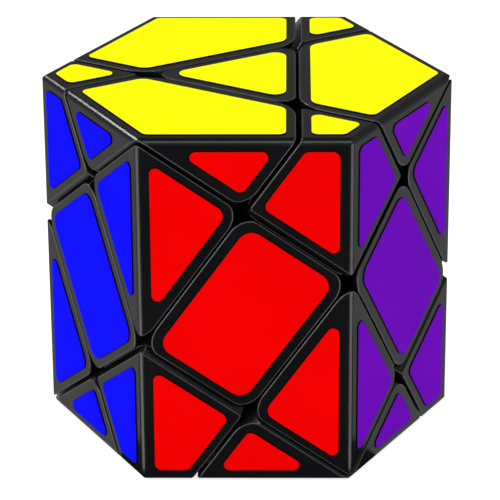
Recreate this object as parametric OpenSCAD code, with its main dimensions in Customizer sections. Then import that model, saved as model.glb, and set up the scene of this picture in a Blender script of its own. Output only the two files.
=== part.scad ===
// Hexagonal prism twisty puzzle: a three-layer mechanism with six centres, twelve edges and eight corners
// round a six-armed core. Three cutting axes at right angles to each other lean equally round the
// prism's upright axis, so the layers turn on slanted planes. +Z is up, the front face looks along -Y,
// and the origin is the middle of the core, where all six turning axes meet.

/* [Body] */
// Distance from the middle to each of the six cutting planes
cut = 9.8; // [9:0.1:11]
// Half of the gap between neighbouring pieces
half_gap = 0.15; // [0.1:0.05:0.25]
// Radius of the upright corners of a piece where two cuts cross
crossing_r = 2.6; // [1.8:0.1:3]
// Wall thickness of the hollow shells
wall = 1.6; // [1.4:0.1:1.8]
// Thickness of a centre's cap along its two lowest sides
cap_t = 1.2; // [1:0.1:1.5]
// Radius of the upright corners of a centre's cap
cap_r = 0.5; // [0.3:0.1:0.8]

/* [Stickers] */
// Thickness of a sticker
sticker_t = 0.15; // [0.1:0.05:0.2]
// Distance from a sticker's edge to the cut or edge beside it
sticker_inset = 1.9; // [1.6:0.1:2.2]
// Radius of a sticker's corners
sticker_r = 1.3; // [0.6:0.1:1.6]

/* [Mechanism] */
// Radius of the screws' shanks
screw_r = 1.5; // [1.2:0.1:1.6]
// Radius of the core's arms
arm_r = 4; // [3.6:0.1:4.2]
// Width of the block in the middle of the core
hub_w = 10.8; // [10:0.1:12]
// Thickness of the tension springs' wire
wire = 0.6; // [0.5:0.05:0.7]

/* [Hidden] */
$fn = 64;
// Angle between each turning axis and the upright axis of the prism
tilt = acos(1 / sqrt(3));
half_height = 5 / sqrt(3) * cut;
face_distance = 4 / sqrt(2) * cut;
side = face_distance / cos(30);
far = 6 * cut;

// Inside slide_r the cuts run nearer to the middle, which makes the feet that hold the pieces in
foot_cut = 0.6 * cut;
slide_r = 2.3 * cut;
foot_r = 1.7 * cut;
glue = 0.05;
shell_r = slide_r + half_gap + wall;
inner_corner_r = 0.3;

// The core's arms and the centres' stems
hub_ball_r = 0.78 * hub_w;
arm_gap = 0.2;
floor_t = 1.6;
spring_room = 4.5;

// Heights along a turning axis, from the middle outwards
hole_start = 3.2;
arm_end = 1.12 * cut;
stem_start = arm_end + arm_gap;
floor_top = stem_start + floor_t;
washer_seat = floor_top + spring_room;
washer_t = 0.5;
head_seat = washer_seat + washer_t;
head_h = 1.8;
cap_start = 3 * cut - cap_t;
cap_inset = 0.1;
head_room = 1.2;
spigot_start = head_seat + head_h + head_room;

stem_r = 4.6;
pocket_r = 3.4;
spigot_bore_r = 2.2;
head_r = 2.9;
slot_w = 0.8;
slot_depth = 1;
slot_length = 1.2 * head_r;
tip_gap = 0.3;
washer_r = 3.1;
spring_r = 2.6;
spring_turns = 4;
running = 0.05;

// A piece's share of a face smaller than this, in square millimetres, carries no sticker
least_sticker = 1;
arc_steps = 5;

// The three turning axes, and the compass direction of each of the six sides
AXES = [for (a = [60, 180, 300]) [sin(tilt) * cos(a), sin(tilt) * sin(a), cos(tilt)]];
SIDES = [for (i = [0 : 5]) 30 + 60 * i];
SIDE_COLOURS = ["green", "orange", "hotpink", "blue", "red", "purple"];

// Each piece's name and its place in the three-layer grid along the turning axes
PIECES = [
  ["centre_top_back_right", [1, 0, 0]],
  ["centre_top_left", [0, 1, 0]],
  ["centre_top_front_right", [0, 0, 1]],
  ["centre_bottom_front_left", [-1, 0, 0]],
  ["centre_bottom_right", [0, -1, 0]],
  ["centre_bottom_back_left", [0, 0, -1]],
  ["edge_top_front_left", [0, 1, 1]],
  ["edge_top_right", [1, 0, 1]],
  ["edge_top_back_left", [1, 1, 0]],
  ["edge_bottom_back_right", [0, -1, -1]],
  ["edge_bottom_left", [-1, 0, -1]],
  ["edge_bottom_front_right", [-1, -1, 0]],
  ["edge_side_front", [-1, 0, 1]],
  ["edge_side_front_right", [0, -1, 1]],
  ["edge_side_back_right", [1, -1, 0]],
  ["edge_side_back", [1, 0, -1]],
  ["edge_side_back_left", [0, 1, -1]],
  ["edge_side_front_left", [-1, 1, 0]],
  ["corner_top", [1, 1, 1]],
  ["corner_bottom", [-1, -1, -1]],
  ["corner_upper_front_left", [-1, 1, 1]],
  ["corner_upper_right", [1, -1, 1]],
  ["corner_upper_back_left", [1, 1, -1]],
  ["corner_lower_back_right", [1, -1, -1]],
  ["corner_lower_left", [-1, 1, -1]],
  ["corner_lower_front_right", [-1, -1, 1]],
];

// ---- Places and solids shared by the pieces ----

function layers(place) = abs(place[0]) + abs(place[1]) + abs(place[2]);

// The stretch of one turning axis that a layer takes, between cuts at the distance c, drawn in by inset
function stretch(layer, c, inset) =
  layer == 0 ? [inset + half_gap - c, c - half_gap - inset]
  : layer > 0 ? [c + half_gap + inset, far]
  : [-far, -c - half_gap - inset];

// Turns the grid's X, Y and Z onto the puzzle's three turning axes
module on_axes() rotate([0, -tilt, 120]) rotate([0, 0, -45]) children();

// Repeats its children along each of the six arms, drawn along +Z
module each_arm() on_axes() {
  for (turn = [0, 90, 180, 270]) rotate([turn, 0, 0]) children();
  for (turn = [90, -90]) rotate([0, turn, 0]) children();
}

module prism(inset = 0)
  linear_extrude(2 * (half_height - inset), center = true)
    circle(r = (face_distance - inset) / cos(30), $fn = 6);

module box(x, y, z)
  translate([x[0], y[0], z[0]]) cube([x[1] - x[0], y[1] - y[0], z[1] - z[0]]);

// A box with its four edges along Z rounded to r
module rounded_bar(x, y, z, r) {
  box([x[0] + r, x[1] - r], y, z);
  box(x, [y[0] + r, y[1] - r], z);
  for (px = [x[0] + r, x[1] - r], py = [y[0] + r, y[1] - r])
    translate([px, py, z[0]]) cylinder(r = r, h = z[1] - z[0]);
}

// The room that a piece takes between its cuts, with rounded edges where two cuts cross
module zone(place, c, inset = 0, r = 0) {
  x = stretch(place[0], c, inset);
  y = stretch(place[1], c, inset);
  z = stretch(place[2], c, inset);
  on_axes()
    if (r == 0) box(x, y, z);
    else intersection() {
      if (place[0] == 0 || layers(place) > 1) rotate([90, 0, 90]) rounded_bar(y, z, x, r);
      if (place[1] == 0 || layers(place) > 1) rotate([-90, -90, 0]) rounded_bar(z, x, y, r);
      if (place[2] == 0 || layers(place) > 1) rounded_bar(x, y, z, r);
      box(x, y, z);
    }
}

// A ball whose poles and seam lie away from the piece that it shapes
module ball(place, r)
  on_axes()
    rotate([0, atan2(place[2], norm([place[0], place[1]])), atan2(place[1], place[0]) + 180])
      sphere(r);

// ---- Outer shells ----

// The part of the prism's walls that a piece takes, drawn in by inset, with corners rounded to r
module walls(place, r, inset = 0)
  difference() {
    intersection() {
      prism();
      zone(place, cut, inset, r);
    }
    intersection() {
      prism(wall);
      zone(place, cut, inset + wall, max(r - wall, inner_corner_r));
    }
  }

module shell(place)
  difference() {
    walls(place, crossing_r);
    ball(place, shell_r + glue);
  }

// ---- Feet of the edges and corners ----

module foot_shell(place, outer_r)
  difference() {
    ball(place, outer_r);
    ball(place, foot_r + half_gap);
  }

module foot(place) {
  neck = [for (i = place) i == 0 ? foot_cut : cut];
  // the block that hooks under the neighbouring pieces
  intersection() {
    foot_shell(place, slide_r - half_gap);
    zone(place, foot_cut);
  }
  // the neck that passes out between them
  intersection() {
    foot_shell(place, shell_r - wall / 2);
    on_axes()
      box(stretch(place[0], neck[0], 0), stretch(place[1], neck[1], 0), stretch(place[2], neck[2], 0));
  }
  // the plate that closes the shell
  difference() {
    intersection() {
      ball(place, shell_r);
      zone(place, cut, 0, crossing_r);
    }
    ball(place, slide_r + half_gap);
  }
}

// ---- Centres ----

// Turns a centre's own axis from +Z to its place
module on_arm(place)
  on_axes()
    rotate([place[1] == 0 ? 0 : -90 * place[1], 0, 0])
      rotate([0, place[0] == 0 ? (place[2] < 0 ? 180 : 0) : 90 * place[0], 0])
        children();

module centre_base(place)
  difference() {
    union() {
      intersection() {
        foot_shell(place, slide_r + half_gap + wall / 2);
        zone(place, foot_cut);
      }
      difference() {
        intersection() {
          zone(place, cut, 0, crossing_r);
          on_arm(place) translate([-far, -far, cut]) cube([2 * far, 2 * far, cap_start - glue - cut]);
        }
        ball(place, slide_r + half_gap);
      }
      on_arm(place) translate([0, 0, stem_start]) cylinder(r = stem_r, h = foot_r + 2 * half_gap - stem_start);
    }
    on_arm(place) {
      cylinder(r = screw_r + 1.5 * running, h = far);
      translate([0, 0, floor_top]) cylinder(r = pocket_r, h = far);
    }
  }

// The cap that hides the screw, with a spigot that plugs the pocket
module centre_cap(place) {
  intersection() {
    walls(place, cap_r, cap_inset);
    on_arm(place) translate([-far, -far, cap_start]) cube([2 * far, 2 * far, far]);
  }
  intersection() {
    prism(wall / 2);
    on_arm(place)
      translate([0, 0, spigot_start])
        difference() {
          cylinder(r = pocket_r - running, h = far);
          translate([0, 0, -1]) cylinder(r = spigot_bore_r, h = far + 2);
        }
  }
}

module piece(place)
  color([0.06, 0.06, 0.065])
    if (layers(place) == 1) {
      centre_base(place);
      centre_cap(place);
    } else {
      shell(place);
      foot(place);
    }

// ---- Stickers ----

// One face of the prism, as its normal, its two directions and its distance from the middle
function side_face(a) = [[cos(a), sin(a), 0], [-sin(a), cos(a), 0], [0, 0, 1], face_distance];
function end_face(up) = [[0, 0, up], [1, 0, 0], [0, up, 0], half_height];

function side_outline() = let (x = side / 2, y = half_height) [[-x, -y], [x, -y], [x, y], [-x, y]];
function end_outline() = [for (i = [0 : 5]) side * [cos(60 * i), sin(60 * i)]];

// What lies outside a line is cut off a convex outline. A line is [n, d], and n * p > d is outside.
function outside(p, line) = line[0] * p - line[1];
function clipped(outline, line) =
  len(outline) < 3 ? []
  : [for (i = [0 : len(outline) - 1])
      let (
        p = outline[i],
        q = outline[(i + 1) % len(outline)],
        at_p = outside(p, line),
        at_q = outside(q, line)
      )
      each concat(
        at_p <= 0 ? [p] : [],
        at_p * at_q < 0 ? [p + (q - p) * at_p / (at_p - at_q)] : []
      )
    ];
function clipped_all(outline, lines, i = 0) =
  i == len(lines) ? outline : clipped_all(clipped(outline, lines[i]), lines, i + 1);

// The lines round one piece's share of a face: the outline's own sides and the cuts, drawn in by the inset
function outline_lines(outline) =
  [for (i = [0 : len(outline) - 1])
    let (
      p = outline[i],
      q = outline[(i + 1) % len(outline)],
      n = [q[1] - p[1], p[0] - q[0]] / norm(q - p)
    )
    [n, n * p - sticker_inset]
  ];
function cut_lines(face, place) =
  [for (k = [0 : 2], way = [-1, 1])
    let (
      n = [face[1] * AXES[k], face[2] * AXES[k]],
      here = face[3] * (face[0] * AXES[k])
    )
    if (way != place[k])
      // the far side of this layer, at +cut or -cut along the axis
      [way * n, (place[k] == 0 ? cut : -cut) - way * here - sticker_inset * norm(n)]
  ];
function share(face, outline, place) =
  clipped_all(outline, concat(outline_lines(outline), cut_lines(face, place)));

function cross2(p, q) = p[0] * q[1] - p[1] * q[0];
function area(outline, i = 0) =
  i >= len(outline) ? 0 : cross2(outline[i], outline[(i + 1) % len(outline)]) / 2 + area(outline, i + 1);

// A convex outline with each corner turned into an arc
function rounded(outline, r) =
  [for (i = [0 : len(outline) - 1])
    let (
      count = len(outline),
      p = outline[i],
      before = outline[(i + count - 1) % count],
      after = outline[(i + 1) % count],
      way_in = (p - before) / norm(p - before),
      way_out = (after - p) / norm(after - p),
      bend = acos(max(-1, min(1, way_in * way_out))),
      room = 0.45 * min(norm(p - before), norm(after - p)),
      r_here = min(r, room / tan(bend / 2)),
      centre = p - way_in * r_here * tan(bend / 2) + r_here * [-way_in[1], way_in[0]],
      start = atan2(way_in[1], way_in[0]) - 90
    )
    for (step = [0 : arc_steps])
      centre + r_here * [cos(start + bend * step / arc_steps), sin(start + bend * step / arc_steps)]
  ];

module sticker(face, outline, place) {
  mine = share(face, outline, place);
  if (len(mine) > 2 && area(mine) > least_sticker)
    translate([0, 0, face[3]]) linear_extrude(sticker_t) polygon(rounded(mine, sticker_r));
}

module stickers(place) {
  for (i = [0 : 5])
    color(SIDE_COLOURS[i]) rotate([90, 0, SIDES[i] + 90]) sticker(side_face(SIDES[i]), side_outline(), place);
  color("yellow") sticker(end_face(1), end_outline(), place);
  color("white") rotate([180, 0, 0]) sticker(end_face(-1), end_outline(), place);
}

// ---- Core and tension hardware ----

module core_spider()
  color("dimgray")
    difference() {
      union() {
        on_axes() intersection() {
          cube(hub_w, center = true);
          sphere(hub_ball_r);
        }
        each_arm() cylinder(r = arm_r, h = arm_end);
      }
      each_arm() translate([0, 0, hole_start]) cylinder(r = screw_r + running, h = far);
    }

module axle_screws()
  color("silver")
    each_arm()
      difference() {
        union() {
          translate([0, 0, hole_start + tip_gap]) cylinder(r = screw_r, h = head_seat - hole_start);
          translate([0, 0, head_seat]) cylinder(r = head_r, h = head_h);
        }
        for (turn = [0, 90])
          rotate([0, 0, turn])
            translate([-slot_length / 2, -slot_w / 2, head_seat + head_h - slot_depth])
              cube([slot_length, slot_w, 2 * slot_depth]);
      }

module screw_washers()
  color("lightgray")
    each_arm()
      translate([0, 0, washer_seat])
        difference() {
          cylinder(r = washer_r, h = washer_t - 2 * running);
          translate([0, 0, -1]) cylinder(r = screw_r + 2 * running, h = 3);
        }

// A coiled wire: a ring of points swept up a helix, closed at both ends
module coil(r, thickness, turns, height) {
  around = 12;
  corners = 6;
  rings = around * turns;
  points = [
    for (i = [0 : rings], j = [0 : corners - 1])
      let (
        along = 360 * i / around,
        out = r + thickness / 2 * cos(360 * j / corners)
      )
      [out * cos(along), out * sin(along), height * i / rings + thickness / 2 * sin(360 * j / corners)]
  ];
  skin = [
    for (i = [0 : rings - 1], j = [0 : corners - 1])
      let (a = i * corners + j, b = i * corners + (j + 1) % corners)
      [a, b, b + corners, a + corners]
  ];
  ends = [
    [for (j = [corners - 1 : -1 : 0]) j],
    [for (j = [0 : corners - 1]) rings * corners + j]
  ];
  polyhedron(points, concat(skin, ends), convexity = 6);
}

module tension_springs()
  color("gold")
    each_arm()
      translate([0, 0, floor_top + wire / 2 + running])
        coil(spring_r, wire, spring_turns, washer_seat - floor_top - wire - 2 * running);

core_spider();
axle_screws();
tension_springs();
screw_washers();
for (p = PIECES)
  piece(p[1]);
for (p = PIECES)
  stickers(p[1]);
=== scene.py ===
import math

import bmesh
import bpy
import numpy as np
from mathutils import Matrix, Vector


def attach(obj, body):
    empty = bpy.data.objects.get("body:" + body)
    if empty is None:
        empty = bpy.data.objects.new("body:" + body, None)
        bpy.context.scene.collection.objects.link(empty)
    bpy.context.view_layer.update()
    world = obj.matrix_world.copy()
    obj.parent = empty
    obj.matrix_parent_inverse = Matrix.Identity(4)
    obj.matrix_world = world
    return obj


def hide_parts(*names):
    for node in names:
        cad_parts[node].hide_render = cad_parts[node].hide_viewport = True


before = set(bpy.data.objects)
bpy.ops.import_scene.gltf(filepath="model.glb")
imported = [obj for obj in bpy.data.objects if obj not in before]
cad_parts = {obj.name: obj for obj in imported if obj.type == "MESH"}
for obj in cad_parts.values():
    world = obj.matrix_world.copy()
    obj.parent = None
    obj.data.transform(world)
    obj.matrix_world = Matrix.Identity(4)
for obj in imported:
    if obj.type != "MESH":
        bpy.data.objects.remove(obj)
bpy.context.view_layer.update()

# ---- The puzzle's sizes, in millimetres ----

MM = 0.001                                  # metres in a millimetre
CUT = 9.8                                   # from the middle to each cut
HALF_GAP = 0.15                             # half the gap between two pieces
HALF_HEIGHT = 5 / math.sqrt(3) * CUT
FACE = 4 / math.sqrt(2) * CUT               # from the middle to each side
SIDE = FACE / math.cos(math.radians(30))    # a side's width, and the middle's distance from an upright corner
FOOT_TOP = 2.3 * CUT + HALF_GAP             # radius of the ball that leaves the shells' undersides hollow
CAP_START = 3 * CUT - 1.2                   # from the middle to a centre's cap, along its axis
CAP_SEAM = 0.05                             # gap between a centre's base and its cap
CAP_INSET = 0.28                            # how far the cap stands back from the base's sides
STICKER_T = 0.15

PRISM_EDGE_R = 1.1                          # roundings of the prism's edges,
CROSSING_R = 2.7                            # of a piece's corners where cuts cross,
CAP_CROSSING_R = 0.5                        # of those corners on a centre's cap,
FILLET = 0.22                               # and of every edge

TILT = math.acos(1 / math.sqrt(3))          # between each axis and the upright


def unit(v):
    return v / np.linalg.norm(v)


def bearing(degrees):
    """The level direction at that angle from +X."""
    return np.array([math.cos(math.radians(degrees)), math.sin(math.radians(degrees)), 0.0])


UP = np.array([0.0, 0.0, 1.0])
AXES = [math.sin(TILT) * bearing(a) + math.cos(TILT) * UP for a in (60, 180, 300)]
SIDES = [30 + 60 * i for i in range(6)]
SIDE_COLOURS = ["green", "orange", "pink", "blue", "red", "purple"]

# Each piece's layer along the three axes: 1 beyond the upper cut, -1 beyond the lower one, 0 between them.
PLACES = {
    "centre_top_back_right": (1, 0, 0),
    "centre_top_left": (0, 1, 0),
    "centre_top_front_right": (0, 0, 1),
    "centre_bottom_front_left": (-1, 0, 0),
    "centre_bottom_right": (0, -1, 0),
    "centre_bottom_back_left": (0, 0, -1),
    "edge_top_front_left": (0, 1, 1),
    "edge_top_right": (1, 0, 1),
    "edge_top_back_left": (1, 1, 0),
    "edge_bottom_back_right": (0, -1, -1),
    "edge_bottom_left": (-1, 0, -1),
    "edge_bottom_front_right": (-1, -1, 0),
    "edge_side_front": (-1, 0, 1),
    "edge_side_front_right": (0, -1, 1),
    "edge_side_back_right": (1, -1, 0),
    "edge_side_back": (1, 0, -1),
    "edge_side_back_left": (0, 1, -1),
    "edge_side_front_left": (-1, 1, 0),
    "corner_top": (1, 1, 1),
    "corner_bottom": (-1, -1, -1),
    "corner_upper_front_left": (-1, 1, 1),
    "corner_upper_right": (1, -1, 1),
    "corner_upper_back_left": (1, 1, -1),
    "corner_lower_back_right": (1, -1, -1),
    "corner_lower_left": (-1, 1, -1),
    "corner_lower_front_right": (-1, -1, 1),
}


def is_centre(place):
    return sum(map(abs, place)) == 1


def axis_of(place):
    """A centre piece's own axis, pointing outwards."""
    return sum(way * axis for way, axis in zip(place, AXES))


# ---- Convex solids from planes ----
# A plane is (normal, distance): the solid lies where normal . p <= distance.

PRISM_EDGE_STEPS = 5
CROSSING_STEPS = 9
BLOCK = 60.0                                # half the side of the cube that a solid is cut from
ON_PLANE = 1e-7                             # a point this little outside a plane still counts as on it
ASKEW = [0.3, 0.5, 0.8]                     # a direction that is no plane's normal
SAME_POINT = 0.012                          # corners nearer than this are one
PARALLEL = 1e-4                             # directions that differ by less, in radians, are one


def angle_between(a, b):
    """The angle between two unit vectors, in radians."""
    return math.acos(max(-1.0, min(1.0, float(np.dot(a, b)))))


def turned(a, b, angle, share):
    """The vector that share of the way round from a to b, which are that angle apart."""
    return (math.sin(angle * (1 - share)) * a + math.sin(angle * share) * b) / math.sin(angle)


def arc(a, b, steps):
    """Unit vectors that turn from a to b in equal steps, with both ends."""
    angle = angle_between(a, b)
    if angle < PARALLEL:
        return [a] * (steps + 1)
    return [turned(a, b, angle, i / steps) for i in range(steps + 1)]


def rounding(p, q, radius, steps):
    """The planes that touch a cylinder of that radius laid along the edge where two planes meet."""
    (n1, d1), (n2, d2) = p, q
    g = float(np.dot(n1, n2))
    k1, k2 = np.linalg.solve([[1, g], [g, 1]], [d1 - radius, d2 - radius])
    centre = k1 * n1 + k2 * n2
    return [(n, float(np.dot(n, centre)) + radius) for n in arc(n1, n2, steps)[1:-1]]


def cut_planes(place, inset):
    """For each axis, a list of the cuts beside a piece: two for a middle layer, one for an outer layer."""
    out = []
    for axis, layer in zip(AXES, place):
        if layer == 0:
            out.append([(axis, CUT - HALF_GAP - inset), (-axis, CUT - HALF_GAP - inset)])
        else:
            out.append([(-layer * axis, -CUT - HALF_GAP - inset)])
    return out


def prism_planes():
    """The prism's sides and ends, and the roundings between them."""
    sides = [(bearing(a), FACE) for a in SIDES]
    ends = [(UP, HALF_HEIGHT), (-UP, HALF_HEIGHT)]
    out = sides + ends
    for i in range(6):
        out += rounding(sides[i], sides[(i + 1) % 6], PRISM_EDGE_R, PRISM_EDGE_STEPS)
        for end in ends:
            out += rounding(sides[i], end, PRISM_EDGE_R, PRISM_EDGE_STEPS)
    return out


def piece_planes(place, crossing_r=CROSSING_R, inset=0.0):
    """Everything that bounds a piece on its outside, with the edges between its cuts rounded."""
    cuts = cut_planes(place, inset)
    out = [p for pair in cuts for p in pair]
    for i in range(3):
        for p in cuts[i]:
            for q in cuts[(i + 1) % 3]:
                out += rounding(p, q, crossing_r, CROSSING_STEPS)
    return out + prism_planes()


def clip(faces, plane):
    """Cuts a convex solid, a list of (plane, corners), by one more plane."""
    n, d = plane
    kept, rim = [], []
    for own, corners in faces:
        h = [float(np.dot(n, p)) - d for p in corners]
        out = []
        for i, p in enumerate(corners):
            j = (i + 1) % len(corners)
            if h[i] <= ON_PLANE:
                out.append(p)
            if (h[i] <= ON_PLANE) != (h[j] <= ON_PLANE):
                cut = p + (corners[j] - p) * (h[i] / (h[i] - h[j]))
                out.append(cut)
                rim.append(cut)
        if len(out) > 2:
            kept.append((own, out))
    if len(rim) > 2:
        middle = sum(rim) / len(rim)
        x = unit(np.cross(n, ASKEW))
        y = np.cross(n, x)
        rim.sort(key=lambda p: math.atan2(np.dot(p - middle, y), np.dot(p - middle, x)))
        kept.append((plane, rim))
    return kept


def solid(planes):
    """The faces, as (plane, corners), of the convex solid that the planes bound."""
    x, y, z = np.eye(3)
    square = ((1, 1), (-1, 1), (-1, -1), (1, -1))
    faces = []
    for n, u, v in ((x, y, z), (y, z, x), (z, x, y)):
        faces.append(((n, BLOCK), [BLOCK * (n + a * u + b * v) for a, b in square]))
        faces.append(((-n, BLOCK), [BLOCK * (-n + b * u + a * v) for a, b in square]))
    for plane in planes:
        faces = clip(faces, plane)
    return faces


def facing(corners):
    """The direction from which a flat face's corners turn left, as long as twice the face's area."""
    first = corners[0]
    return sum(np.cross(p - first, q - first) for p, q in zip(corners, corners[1:] + corners[:1]))


def welded(faces):
    """Faces with shared corners, as (points, [(plane, corner indices)]), turning left seen from outside."""
    points, loops = [], []

    def shared(p):
        for k, q in enumerate(points):
            if (abs(p[0] - q[0]) < SAME_POINT and abs(p[1] - q[1]) < SAME_POINT
                    and abs(p[2] - q[2]) < SAME_POINT):
                return k
        points.append(p)
        return len(points) - 1

    for plane, corners in faces:
        ids = []
        for p in corners:
            k = shared(p)
            if not ids or ids[-1] != k:
                ids.append(k)
        if len(ids) > 1 and ids[0] == ids[-1]:
            ids.pop()
        if len(ids) > 2:
            left = np.dot(facing([points[k] for k in ids]), plane[0]) > 0
            loops.append((plane, ids if left else ids[::-1]))
    return points, loops


# ---- Meshes with rounded edges ----

SHARP = 0.5                                 # radians: a flatter edge lies within a rounding and gets no painted rim highlight
OUTSIDE = 20                                # mm: a plane this far out isn't a cut
PAINTED_RIM_REACH = math.cos(math.radians(50))     # how far the painted rim highlight reaches round an edge from the outer face


def strips_for(angle):
    """How many strips go round an edge where the faces' directions are that angle apart, in radians."""
    if angle < 0.35:
        return 1
    return 2 if angle < 0.7 else 4


def neighbours(loops):
    """(the face that has each directed edge, the corners before and after each corner of each face)."""
    beside, ends = {}, {}
    for f, (_, ids) in enumerate(loops):
        for i, v in enumerate(ids):
            after = ids[(i + 1) % len(ids)]
            beside[(v, after)] = f
            ends[(v, f)] = (ids[i - 1], after)
    return beside, ends


def faces_round(v, beside, ends):
    """The faces that meet at a corner, in order round it, or an empty list where they don't close."""
    mine = [f for (u, f) in ends if u == v]
    if len(mine) < 3:
        return []
    order, f = [], mine[0]
    for _ in mine:
        order.append(f)
        f = beside.get((v, ends[(v, f)][0]))
        if f is None:
            return []
    return order if f == order[0] else []


def rounded_mesh(planes):
    """The solid that the planes bound, with each edge rounded by FILLET, as (points, normals, faces, rims).

    The fourth list is True for each face on the rim, which is the outer part of the rounding between an outer
    face and a cut; these faces get a paler base colour, a painted highlight in place of the gloss lines that
    the rounded edges catch.
    """
    base, loops = welded(solid([(n, d - FILLET) for n, d in planes]))
    ways = [plane[0] for plane, _ in loops]
    beside, ends = neighbours(loops)
    points, normals, faces, highlight_rims, index = [], [], [], [], {}

    def corner(v, n):
        key = (v, round(n[0], 5), round(n[1], 5), round(n[2], 5))
        if key not in index:
            index[key] = len(points)
            points.append(base[v] + FILLET * n)
            normals.append(n)
        return index[key]

    # Painted highlight: True for a rounding face that gets the paler rim material, which stands in for the
    # gloss line along the edge
    def on_painted_rim(around, n):
        outer = [ways[f] for f in around if loops[f][0][1] > OUTSIDE]
        return 0 < len(outer) < len(around) and float(np.dot(unit(n), unit(sum(outer)))) > PAINTED_RIM_REACH

    for f, (_, ids) in enumerate(loops):
        faces.append([corner(v, ways[f]) for v in ids])
        highlight_rims.append(False)

    # the strips along each edge
    strips = {}
    for (v, w), f in beside.items():
        g = beside.get((w, v))
        if g is None:
            continue
        angle = angle_between(ways[f], ways[g])
        strips[(v, w)] = strips_for(angle)
        if v > w:
            continue
        ring = arc(ways[f], ways[g], strips[(v, w)])
        for a, b in zip(ring, ring[1:]):
            quad = [corner(w, a), corner(v, a), corner(v, b), corner(w, b)]
            quad = [k for i, k in enumerate(quad) if k != quad[i - 1]]
            if len(quad) > 2:
                faces.append(quad)
                highlight_rims.append(angle > SHARP and on_painted_rim((f, g), a + b))

    # the patch round each corner
    for v in range(len(base)):
        order = faces_round(v, beside, ends)
        rim = []
        for f, g in zip(order, order[1:] + order[:1]):
            for n in arc(ways[f], ways[g], strips.get((v, ends[(v, f)][0]), 1))[:-1]:
                k = corner(v, n)
                if not rim or (k != rim[-1] and k != rim[0]):
                    rim.append(k)
        if len(rim) > 4:
            top = corner(v, unit(sum(normals[k] for k in rim)))
            faces += [[rim[i - 1], rim[i], top] for i in range(len(rim))]
        elif len(rim) > 2:
            faces.append(rim)
        highlight_rims += [on_painted_rim(order, sum(normals[k] for k in ids)) for ids in faces[len(highlight_rims):]]
    return points, normals, faces, highlight_rims


# ---- The hollow under each shell, a ball round the puzzle's middle ----

SHORT_CUT = 0.8                             # mm: a shorter cut through a face stays straight
LEVEL = 1e-3                                # mm: a cut that leaves its face's plane by more stays straight
BALL_STEP = 0.08                            # radians between the points of a round cut
LINING = (0.3, 0.65)                        # the rings between the hollow's rim and its pole


def ball_crossing(p, q):
    """The share of the way from p to q at which the line meets the ball."""
    way = q - p
    a, b, c = np.dot(way, way), 2 * np.dot(p, way), np.dot(p, p) - FOOT_TOP * FOOT_TOP
    root = math.sqrt(b * b - 4 * a * c)
    return min(((-b + sign * root) / (2 * a) for sign in (1, -1)), key=lambda t: abs(t - 0.5))


def round_cut(n, start, end):
    """The points between two on the circle that a face with normal n shares with the ball."""
    middle = n * float(np.dot(n, start))
    a, b = start - middle, end - middle
    if np.linalg.norm(a - b) <= SHORT_CUT or abs(np.dot(n, a - b)) >= LEVEL:
        return []
    angle = angle_between(unit(a), unit(b))
    steps = max(1, round(angle / BALL_STEP))
    return [middle + turned(a, b, angle, s / steps) for s in range(1, steps)]


def lining(points, rim):
    """Adds the points of the hollow's surface, in rings from its rim to its pole, and returns its faces."""
    pole = unit(sum(unit(points[k]) for k in rim))
    rings = [rim]
    for t in LINING:
        rings.append(list(range(len(points), len(points) + len(rim))))
        points += [FOOT_TOP * unit(unit(points[k]) * (1 - t) + pole * t) for k in rim]
    top = len(points)
    points.append(FOOT_TOP * pole)
    out = []
    for inner, outer in zip(rings[1:], rings):
        out += [[outer[i - 1], outer[i], inner[i], inner[i - 1]] for i in range(len(rim))]
    return out + [[rings[-1][i - 1], rings[-1][i], top] for i in range(len(rim))]


def ball_cut(points, normals, faces, highlight_rims):
    """Takes the ball out of the solid. Returns (points, faces, rims, one normal for each face corner)."""
    points, normals = list(points), list(normals)
    outside = [np.linalg.norm(p) > FOOT_TOP for p in points]
    crossing, out, out_rims, rim_next = {}, [], [], {}

    def crossed(i, j):
        key = (min(i, j), max(i, j))
        if key not in crossing:
            p, q = points[key[0]], points[key[1]]
            t = ball_crossing(p, q)
            crossing[key] = len(points)
            points.append(p + (q - p) * t)
            normals.append(unit(normals[key[0]] * (1 - t) + normals[key[1]] * t))
        return crossing[key]

    for ids, is_rim in zip(faces, highlight_rims):
        if not any(outside[k] for k in ids):
            continue
        out_rims.append(is_rim)
        if all(outside[k] for k in ids):
            out.append(ids)
            continue
        loop = []
        start = next(i for i in range(len(ids)) if outside[ids[i]] and not outside[ids[i - 1]])
        for step in range(len(ids)):
            k, after = ids[(start + step) % len(ids)], ids[(start + step + 1) % len(ids)]
            if outside[k]:
                loop.append(k)
            if outside[k] and not outside[after]:
                enter = crossed(k, after)
            if not outside[k] and outside[after]:
                leave = crossed(k, after)
        n = normals[ids[0]]
        between = round_cut(n, points[enter], points[leave])
        chain = [enter, *range(len(points), len(points) + len(between)), leave]
        points += between
        normals += [n] * len(between)
        for p, q in zip(chain, chain[1:]):
            rim_next[q] = p
        out.append(loop + chain)
    corner_normals = [[normals[k] for k in ids] for ids in out]
    if rim_next:
        rim = [next(iter(rim_next))]
        while rim_next[rim[-1]] != rim[0]:
            rim.append(rim_next[rim[-1]])
        inside = lining(points, rim)
        out += inside
        out_rims += [False] * len(inside)
        corner_normals += [[-unit(points[k]) for k in ids] for ids in inside]
    return points, out, out_rims, corner_normals


# ---- Objects ----

SAME_VERTEX = 2e-6                          # metres
ON_BALL = 2.5e-5                            # metres: how far a packed corner on the ball may lie off it
FOOT_CREASE = math.radians(28)
FILM_CREASE = math.radians(80)


def placed(name, data):
    """A new object with that data, in the scene."""
    obj = bpy.data.objects.new(name, data)
    bpy.context.scene.collection.objects.link(obj)
    return obj


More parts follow.
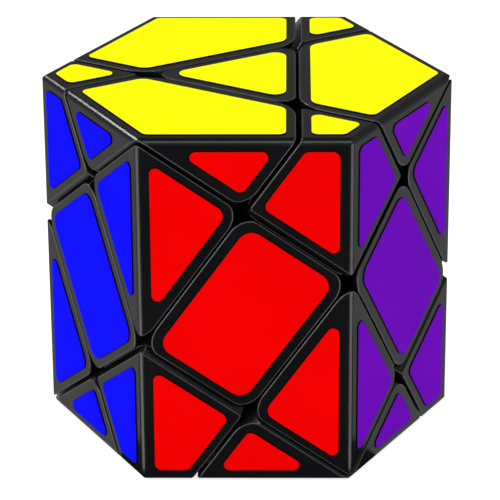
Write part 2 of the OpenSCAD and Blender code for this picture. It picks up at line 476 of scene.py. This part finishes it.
def add_object(name, points, faces, second, corner_normals=None):
    """A smooth mesh object. second is True for each face that has the object's second material."""
    mesh = bpy.data.meshes.new(name)
    mesh.from_pydata([tuple(float(x) * MM for x in p) for p in points], [], faces)
    mesh.polygons.foreach_set("use_smooth", [True] * len(mesh.polygons))
    mesh.polygons.foreach_set("material_index", second)
    if corner_normals:
        mesh.normals_split_custom_set([tuple(n) for ns in corner_normals for n in ns])
    return placed(name, mesh)


def stands_for(obj, node, body, slot, *materials):
    """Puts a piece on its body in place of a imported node, and gives it its finish."""
    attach(obj, body)
    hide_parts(node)
    for material in materials:
        obj.data.materials.append(material)


def foot_object(name, node):
    """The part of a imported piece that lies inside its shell's underside: its foot, and a centre's stem."""
    bm = bmesh.new()
    bm.from_mesh(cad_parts[node].data)
    bmesh.ops.remove_doubles(bm, verts=bm.verts, dist=SAME_VERTEX)
    top = FOOT_TOP * MM
    shell = []
    for face in bm.faces:
        heights = [v.co.length - top for v in face.verts]
        if any(h > ON_BALL for h in heights) or all(abs(h) < ON_BALL for h in heights):
            shell.append(face)
    bmesh.ops.delete(bm, geom=shell, context="FACES")
    bmesh.ops.holes_fill(bm, edges=[e for e in bm.edges if e.is_boundary], sides=0)
    bmesh.ops.recalc_face_normals(bm, faces=bm.faces)
    mesh = bpy.data.meshes.new(name)
    bm.to_mesh(mesh)
    bm.free()
    mesh.polygons.foreach_set("use_smooth", [True] * len(mesh.polygons))
    mesh.set_sharp_from_angle(angle=FOOT_CREASE)
    return placed(name, mesh)


# ---- Stickers ----

INSET = 1.9                                 # from a piece's edges to its sticker
DARK_EDGE = 0.08                            # width of the film's cut edge round the print
FILM_BEVEL = 0.05
BEVEL_MIDDLE = 0.3                          # the share of the bevel that its middle line is drawn in by
LEAST_AREA = 1                              # mm2: a piece that shows less of a face has no sticker there

# The radii of a sticker's corners. Where cuts cross they grow with the sticker's area, in mm2.
ACUTE = math.radians(115)                   # a corner that turns by more is a tip
TIP_R = 0.9
CORNER_R = 1.1                              # other corners, and where cuts cross on a centre piece
SMALL, SMALL_R = 60, 1.0
MIDDLE_R = 1.7
LARGE, LARGE_R = 300, 2.2
ROOM = 0.48                                 # the share of a side that one rounding may take
ARC_STEPS = 8


def faces_of_prism():
    """Each outer face as (colour, outward normal, right, up, distance, outline)."""
    x, y = SIDE / 2, HALF_HEIGHT
    box = [np.array(p) for p in ((-x, -y), (x, -y), (x, y), (-x, y))]
    hexagon = [SIDE * bearing(60 * i)[:2] for i in range(6)]
    out = [(c, bearing(a), bearing(a + 90), UP, FACE, box) for c, a in zip(SIDE_COLOURS, SIDES)]
    out.append(("yellow", UP, bearing(0), bearing(90), HALF_HEIGHT, hexagon))
    out.append(("white", -UP, bearing(0), -bearing(90), HALF_HEIGHT, hexagon))
    return out


# A sticker's outline is a list of (point, what the side that starts there runs along: the "rim" or a "cut").


def area_of(outline):
    """In mm2, for an outline that turns left."""
    return sum(p[0] * q[1] - p[1] * q[0] for (p, _), (q, _) in zip(outline, outline[1:] + outline[:1])) / 2


def clip_outline(outline, n, d, tag):
    """Keeps what lies where n . p <= d, and gives the new side that tag."""
    out = []
    for i, (p, side) in enumerate(outline):
        q = outline[(i + 1) % len(outline)][0]
        hp, hq = float(np.dot(n, p)) - d, float(np.dot(n, q)) - d
        if hp <= 0:
            out.append((p, side))
        if (hp <= 0) != (hq <= 0):
            cut = p + (q - p) * hp / (hp - hq)
            out.append((cut, tag if hp <= 0 else side))
    return out


def sticker_outline(face, place):
    """The part of a face that shows on the piece in that place, drawn in by INSET, or an empty list."""
    _, normal, right, up, distance, outline = face
    mine = [(p, "rim") for p in outline]
    for i, p in enumerate(outline):
        q = outline[(i + 1) % len(outline)]
        n = unit(np.array([q[1] - p[1], p[0] - q[0]]))
        mine = clip_outline(mine, n, float(np.dot(n, p)) - INSET, "rim")
    for axis, layer in zip(AXES, place):
        n = np.array([np.dot(axis, right), np.dot(axis, up)])
        here = distance * float(np.dot(axis, normal))
        for way in (-1, 1):
            if way != layer and len(mine) > 2:
                limit = (CUT if layer == 0 else -CUT) - way * here - INSET * np.linalg.norm(n)
                mine = clip_outline(mine, way * n, limit, "cut")
    return mine if len(mine) > 2 and area_of(mine) > LEAST_AREA else []


def crossing_radius(area, centre_piece):
    """The radius of a sticker's corners where cuts cross."""
    if centre_piece:
        return CORNER_R
    if area < SMALL:
        return SMALL_R
    return LARGE_R if area > LARGE else MIDDLE_R


def rounded_outline(outline, centre_piece):
    """Turns each corner into an arc, as a list of (point, outward direction)."""
    crossing_r = crossing_radius(area_of(outline), centre_piece)
    out = []
    for i, (p, side) in enumerate(outline):
        before, after = outline[i - 1], outline[(i + 1) % len(outline)]
        way_in, way_out = unit(p - before[0]), unit(after[0] - p)
        bend = angle_between(way_in, way_out)
        r = TIP_R if bend > ACUTE else CORNER_R
        if before[1] == "cut" and side == "cut":
            r = crossing_r
        room = ROOM * min(np.linalg.norm(p - before[0]), np.linalg.norm(after[0] - p))
        r = min(r, room / math.tan(bend / 2))
        middle = p - way_in * r * math.tan(bend / 2) + r * np.array([-way_in[1], way_in[0]])
        start = math.atan2(way_in[1], way_in[0]) - math.pi / 2
        for s in range(ARC_STEPS + 1):
            a = start + bend * s / ARC_STEPS
            outward = np.array([math.cos(a), math.sin(a)])
            out.append((middle + r * outward, outward))
    return out


def sticker_mesh(face, place, centre_piece):
    """(points, faces, dark), or None: dark is True for the film's cut edge and False for its printed top."""
    outline = sticker_outline(face, place)
    if not outline:
        return None
    _, normal, right, up, distance, _ = face
    ring = rounded_outline(outline, centre_piece)
    levels = [
        (0.0, 0.0),
        (0.0, STICKER_T - FILM_BEVEL),
        (FILM_BEVEL * BEVEL_MIDDLE, STICKER_T - FILM_BEVEL * BEVEL_MIDDLE),
        (FILM_BEVEL, STICKER_T),
        (DARK_EDGE, STICKER_T),
    ]
    points, faces = [], []
    for inset, height in levels:
        for p, outward in ring:
            q = p + outward * (DARK_EDGE - inset)
            points.append(q[0] * right + q[1] * up + (distance + height) * normal)
    n = len(ring)
    for k in range(len(levels) - 1):
        for i in range(n):
            j = (i + 1) % n
            faces.append([k * n + i, k * n + j, (k + 1) * n + j, (k + 1) * n + i])
    dark = [True] * len(faces) + [False, True]
    faces.append([(len(levels) - 1) * n + i for i in range(n)])
    faces.append([n - 1 - i for i in range(n)])
    return points, faces, dark


# ---- Materials ----


def new_material(name):
    """(material, its node tree, its shader)."""
    material = bpy.data.materials.new(name)
    material.use_nodes = True
    return material, material.node_tree, material.node_tree.nodes["Principled BSDF"]


def noise(tree, coord, scale, detail, roughness=0.5, distortion=0.0):
    n = tree.nodes.new("ShaderNodeTexNoise")
    n.inputs["Scale"].default_value = scale
    n.inputs["Detail"].default_value = detail
    n.inputs["Roughness"].default_value = roughness
    n.inputs["Distortion"].default_value = distortion
    tree.links.new(coord, n.inputs["Vector"])
    return n.outputs["Fac"]


MOTTLE = (0.3, 0.7)                         # the parts of a noise's range that are used,
TOUCH = (0.35, 0.65)                        # for colour and for polish


def ranged(tree, value, lo, hi, from_lo, from_hi):
    """Takes a value from one range to another, and no further."""
    n = tree.nodes.new("ShaderNodeMapRange")
    n.inputs["From Min"].default_value = from_lo
    n.inputs["From Max"].default_value = from_hi
    n.inputs["To Min"].default_value = lo
    n.inputs["To Max"].default_value = hi
    tree.links.new(value, n.inputs["Value"])
    return n.outputs["Result"]


def maths(tree, kind, a, b):
    """a and b are numbers or other nodes' outputs."""
    n = tree.nodes.new("ShaderNodeMath")
    n.operation = kind
    for socket, value in zip(n.inputs, (a, b)):
        if isinstance(value, (int, float)):
            socket.default_value = value
        else:
            tree.links.new(value, socket)
    return n.outputs[0]


def plus(tree, value, share, extra):
    return maths(tree, "ADD", value, maths(tree, "MULTIPLY", extra, share))


def minus(tree, value, share, extra):
    return maths(tree, "SUBTRACT", value, maths(tree, "MULTIPLY", extra, share))


def colour_mix(tree, factor, a, b):
    """Sockets 0, 6 and 7 are the factor and the two colours, and output 2 is the colour between them."""
    n = tree.nodes.new("ShaderNodeMix")
    n.data_type = "RGBA"
    tree.links.new(factor, n.inputs[0])
    n.inputs[6].default_value = (*a, 1)
    n.inputs[7].default_value = (*b, 1)
    return n.outputs[2]


def scratches(tree, coord, scale, turn, width):
    """Fine straight marks, as 1 on a mark and 0 beside it."""
    stretch = 0.03
    place = tree.nodes.new("ShaderNodeMapping")
    place.inputs["Rotation"].default_value = turn
    place.inputs["Scale"].default_value = (scale, scale * stretch, scale * stretch)
    tree.links.new(coord, place.inputs["Vector"])
    streaks = noise(tree, place.outputs["Vector"], scale=1.0, detail=2.0)
    near = maths(tree, "ABSOLUTE", maths(tree, "SUBTRACT", streaks, 0.5), 0.0)
    return ranged(tree, near, 1.0, 0.0, 0.0, width)


def bumped(tree, shader, height, strength, distance):
    n = tree.nodes.new("ShaderNodeBump")
    n.inputs["Strength"].default_value = strength
    n.inputs["Distance"].default_value = distance
    tree.links.new(height, n.inputs["Height"])
    tree.links.new(n.outputs["Normal"], shader.inputs["Normal"])


def mottled(name, first, second, scale, detail, roughness):
    """A new material whose colour wanders between two, as (material, tree, shader, object coordinates)."""
    material, tree, shader = new_material(name)
    coord = tree.nodes.new("ShaderNodeTexCoord").outputs["Object"]
    mottle = noise(tree, coord, scale, detail, roughness)
    colour = colour_mix(tree, ranged(tree, mottle, 0, 1, *MOTTLE), first, second)
    tree.links.new(colour, shader.inputs["Base Color"])
    return material, tree, shader, coord


def plastic(name, dark, pale, rough_lo, rough_hi, grain):
    """Moulded ABS: a satin skin, smoother where fingers polish it, with fine scratches and moulding grain."""
    material, tree, shader, coord = mottled(name, dark, pale, scale=260, detail=4, roughness=0.6)
    touched = noise(tree, coord, scale=70, detail=5, roughness=0.62, distortion=0.4)
    fine = noise(tree, coord, scale=2400, detail=2)
    marks = scratches(tree, coord, scale=1400, turn=(0.4, 0.9, 0.5), width=0.006)
    rough = ranged(tree, touched, rough_lo, rough_hi, *TOUCH)
    rough = plus(tree, rough, 0.05, fine)
    rough = plus(tree, rough, 0.06, marks)
    tree.links.new(rough, shader.inputs["Roughness"])
    bumped(tree, shader, minus(tree, fine, 0.3, marks), strength=grain, distance=2.5e-5)
    shader.inputs["IOR"].default_value = 1.5
    return material


def vinyl(name, colour, shade):
    """Sticker film: even ink with a faint mottle, a soft sheen, hairline scratches and slight orange peel."""
    material, tree, shader, coord = mottled(name, colour, shade, scale=45, detail=4, roughness=0.55)
    touched = noise(tree, coord, scale=90, detail=5, roughness=0.6, distortion=0.5)
    peel = noise(tree, coord, scale=900, detail=2)
    marks = scratches(tree, coord, scale=1800, turn=(1.1, 0.3, 0.8), width=0.008)
    rough = plus(tree, ranged(tree, touched, 0.36, 0.46, *TOUCH), 0.08, marks)
    tree.links.new(rough, shader.inputs["Roughness"])
    bumped(tree, shader, minus(tree, peel, 0.4, marks), strength=0.12, distance=3e-5)
    shader.inputs["Specular IOR Level"].default_value = 0.006
    return material


def metal(name, colour, shade, rough_lo, rough_hi, anisotropic):
    """Worn steel: a mottled tint, drawing marks and uneven polish."""
    material, tree, shader, coord = mottled(name, colour, shade, scale=500, detail=5, roughness=0.65)
    marks = scratches(tree, coord, scale=4200, turn=(0.2, 0.6, 1.2), width=0.03)
    polish = noise(tree, coord, scale=180, detail=4, roughness=0.6)
    rough = plus(tree, ranged(tree, polish, rough_lo, rough_hi, *TOUCH), 0.12, marks)
    tree.links.new(rough, shader.inputs["Roughness"])
    bumped(tree, shader, marks, strength=0.2, distance=2e-5)
    shader.inputs["Metallic"].default_value = 1.0
    shader.inputs["Anisotropic"].default_value = anisotropic
    return material


BLACK = plastic("black_abs", (0.004, 0.004, 0.0045), (0.006, 0.006, 0.007), 0.15, 0.22, 0.08)
# Painted highlight: a paler grey for the rounded rims, standing in for the thin gloss lines that the edges
# catch
RIM_HIGHLIGHT_PAINT = plastic("black_abs_painted_rim_highlight", (0.038, 0.038, 0.040), (0.060, 0.060, 0.063), 0.12, 0.22, 0.08)
CORE_PLASTIC = plastic("core_abs", (0.02, 0.02, 0.022), (0.03, 0.03, 0.034), 0.36, 0.48, 0.25)
INKS = {
    "yellow": ((1.0, 0.98, 0.0), (0.98, 0.93, 0.0)),
    "white": ((0.9, 0.9, 0.9), (0.84, 0.84, 0.85)),
    "red": ((0.83, 0.0, 0.0), (0.76, 0.0, 0.0)),
    "purple": ((0.145, 0.0, 0.45), (0.12, 0.0, 0.41)),
    "blue": ((0.0, 0.0, 1.0), (0.0, 0.0, 0.92)),
    "green": ((0.0, 0.45, 0.06), (0.0, 0.40, 0.05)),
    "orange": ((1.0, 0.25, 0.0), (0.95, 0.21, 0.0)),
    "pink": ((0.95, 0.18, 0.42), (0.9, 0.15, 0.38)),
}
FILM_EDGE = vinyl("film_edge", (0.002, 0.002, 0.002), (0.004, 0.004, 0.004))
VINYL = {ink: vinyl("vinyl_" + ink, *pair) for ink, pair in INKS.items()}

# ---- The pieces ----

PRISM_FACES = faces_of_prism()


def make_shell(name, node, planes):
    """An edge's or a corner's shell, or a centre's base, hollow underneath."""
    shell = add_object(name, *ball_cut(*rounded_mesh(planes)))
    # The second material is the rims' painted highlight
    stands_for(shell, node, node, "body_plastic", BLACK, RIM_HIGHLIGHT_PAINT)


def make_cap(name, node, place):
    """The plate that closes a centre over its screw."""
    planes = piece_planes(place, CAP_CROSSING_R, CAP_INSET) + [(-axis_of(place), -CAP_START)]
    points, normals, faces, highlight_rims = rounded_mesh(planes)
    cap = add_object(name, points, faces, highlight_rims, [[normals[k] for k in ids] for ids in faces])
    # The second material is the rims' painted highlight
    stands_for(cap, node, node, "body_plastic", BLACK, RIM_HIGHLIGHT_PAINT)


def make_stickers(node, place):
    for face in PRISM_FACES:
        made = sticker_mesh(face, place, is_centre(place))
        if made:
            film = add_object(f"{node}_sticker_{face[0]}", *made)
            film.data.set_sharp_from_angle(angle=FILM_CREASE)
            stands_for(film, node + "_stickers", node, "sticker_" + face[0], VINYL[face[0]], FILM_EDGE)


for name, place in PLACES.items():
    if is_centre(place):
        make_shell(name + "_base", name, piece_planes(place) + [(axis_of(place), CAP_START - CAP_SEAM)])
        make_cap(name + "_cap", name, place)
    else:
        make_shell(name + "_shell", name, piece_planes(place))
    stands_for(foot_object(name + "_foot", name), name, name, "body_plastic", BLACK)
    make_stickers(name, place)

CARRIED_OVER = {
    "core_spider": CORE_PLASTIC,
    "axle_screws": metal("zinc_steel", (0.62, 0.62, 0.63), (0.5, 0.5, 0.52), 0.22, 0.36, 0.3),
    "tension_springs": metal("spring_wire", (0.46, 0.44, 0.42), (0.36, 0.34, 0.32), 0.28, 0.42, 0.5),
    "screw_washers": metal("washer_steel", (0.68, 0.68, 0.69), (0.56, 0.56, 0.57), 0.2, 0.32, 0.2),
}
for node, material in CARRIED_OVER.items():
    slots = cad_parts[node].data.materials
    slots.clear()
    slots.append(material)

# ---- Floor and light, in metres ----

WHITE = (1, 1, 1, 1)
FLOOR_Z = -(HALF_HEIGHT + STICKER_T) * MM
FLOOR_REACH = 3


def rectangle(x0, x1, y0, y1, height):
    return [(x0, y0, height), (x1, y0, height), (x1, y1, height), (x0, y1, height)]


def flat_sheet(name, corners):
    """One flat face, placed in the scene."""
    mesh = bpy.data.meshes.new(name)
    mesh.from_pydata(corners, [], [tuple(range(len(corners)))])
    sheet = placed(name, mesh)
    return sheet


def pale_paper():
    """The floor's white, with a little light of its own so that shadows on it stay faint."""
    material, _, shader = new_material("pale_paper")
    shader.inputs["Base Color"].default_value = (0.45, 0.45, 0.45, 1)
    shader.inputs["Roughness"].default_value = 0.9
    shader.inputs["Specular IOR Level"].default_value = 0.1
    shader.inputs["Emission Color"].default_value = WHITE
    shader.inputs["Emission Strength"].default_value = 0.8
    return material


def soft_light(name, place, size, power):
    """An area light that faces the puzzle and doesn't show in its gloss."""
    data = bpy.data.lights.new(name, "AREA")
    data.shape = "RECTANGLE"
    data.size, data.size_y = size
    data.energy = power
    light = placed(name, data)
    light.location = place
    light.rotation_euler = (-Vector(place)).to_track_quat("-Z", "Y").to_euler()
    light.visible_glossy = False


floor = flat_sheet("floor", rectangle(-FLOOR_REACH, FLOOR_REACH, -FLOOR_REACH, FLOOR_REACH, FLOOR_Z))
floor.data.materials.append(pale_paper())

world = bpy.data.worlds.new("studio")
bpy.context.scene.world = world
world.use_nodes = True
world.node_tree.nodes["Background"].inputs["Color"].default_value = WHITE
world.node_tree.nodes["Background"].inputs["Strength"].default_value = 1.0

soft_light("key", place=(-0.62, 0.42, 0.40), size=(0.30, 0.22), power=2.0)

# ---- Cards, which only show in the plastic's gloss ----
# A dark room round the puzzle, with bright strips where its edges catch the light.

FAR = 1.2                                   # from the middle to the room's walls and ceiling
FLAG_Y = -0.02                              # the floor's reflection is black in front of this line
CARD_Z = FLOOR_Z + 0.0003                   # the cards on the floor,
WEDGE_Z = CARD_Z + 0.0002                   # and those that lie on them


def card(name, corners, brightness):
    """A flat card that only shows in the gloss, as a photographer's black flag or white reflector does."""
    obj = flat_sheet(name, corners)
    material = bpy.data.materials.new(name)
    material.use_nodes = True
    tree = material.node_tree
    tree.nodes.clear()
    glow = tree.nodes.new("ShaderNodeEmission")
    glow.inputs["Color"].default_value = WHITE
    glow.inputs["Strength"].default_value = brightness
    out = tree.nodes.new("ShaderNodeOutputMaterial")
    tree.links.new(glow.outputs["Emission"], out.inputs["Surface"])
    obj.data.materials.append(material)
    obj.visible_camera = obj.visible_diffuse = obj.visible_transmission = obj.visible_shadow = False


def upright(start, end, bottom, top):
    """The corners of a card that stands over the level line from start to end."""
    return [(*start, bottom), (*end, bottom), (*end, top), (*start, top)]


def wedge(corner, first, last):
    """The corners of a wedge on the floor that starts at an upright corner and opens between two bearings."""
    tip, reach = 0.003, 0.2
    x, y, _ = SIDE * MM * bearing(corner)
    outline = [(bearing(first), tip), (bearing(first), reach), (bearing(last), reach), (bearing(last), tip)]
    return [(x + r * way[0], y + r * way[1], WEDGE_Z) for way, r in outline]


card("floor_grey", rectangle(-FAR, FAR, FLAG_Y, FAR, CARD_Z), 0.4)
card("black_flag", rectangle(-FAR, FAR, -FAR, FLAG_Y, CARD_Z), 0.0)
card("left_wall", upright((-FAR, -FAR), (-FAR, FAR), CARD_Z, FAR), 0.2)
card("right_wall", upright((FAR, -FAR), (FAR, FAR), CARD_Z, FAR), 0.2)
card("front_wall", upright((-FAR, -FAR), (FAR, -FAR), CARD_Z, FAR), 0.2)
card("back_wall", upright((-FAR, FAR), (FAR, FAR), CARD_Z, FAR), 0.17)
card("ceiling", rectangle(-FAR, FAR, -FAR, FAR, FAR), 0.06)
card("left_strip", wedge(240, 192, 238), 2.8)
card("right_strip", wedge(300, 348, 302), 2.4)
card("ceiling_strip", rectangle(-0.5, 0.5, -0.48, -0.32, 0.6), 4.5)
card("left_card", upright((-0.40, -0.42), (-0.60, -0.10), 0.04, 0.36), 5.0)
card("edge_strip", upright((-0.6, 0.42), (-0.5, 0.53), 0.47, 0.56), 26.0)

# ---- Camera ----

SENSOR, LENS = 36, 211.968                  # mm
CAMERA_PLACE = [u * CUT * MM for u in (0.69, -43.81, 19.17)]
TURN, FALL, ROLL = math.radians(0.86), math.radians(23.81), math.radians(-0.36)


def add_camera():
    """A long lens in front of the red side, looking a little down."""
    data = bpy.data.cameras.new("camera")
    data.sensor_width = SENSOR
    data.lens = LENS
    data.clip_start = 0.02
    ahead = Vector((-math.sin(TURN) * math.cos(FALL), math.cos(TURN) * math.cos(FALL), -math.sin(FALL)))
    right = Vector((math.cos(TURN), math.sin(TURN), 0))
    up = right.cross(ahead)
    tilted = right * math.cos(ROLL) + up * math.sin(ROLL)
    above = up * math.cos(ROLL) - right * math.sin(ROLL)
    camera = placed("camera", data)
    turning = Matrix((tilted, above, -ahead)).transposed().to_4x4()
    camera.matrix_world = Matrix.Translation(CAMERA_PLACE) @ turning
    bpy.context.scene.camera = camera


add_camera()
bpy.context.scene.view_settings.view_transform = "Standard"
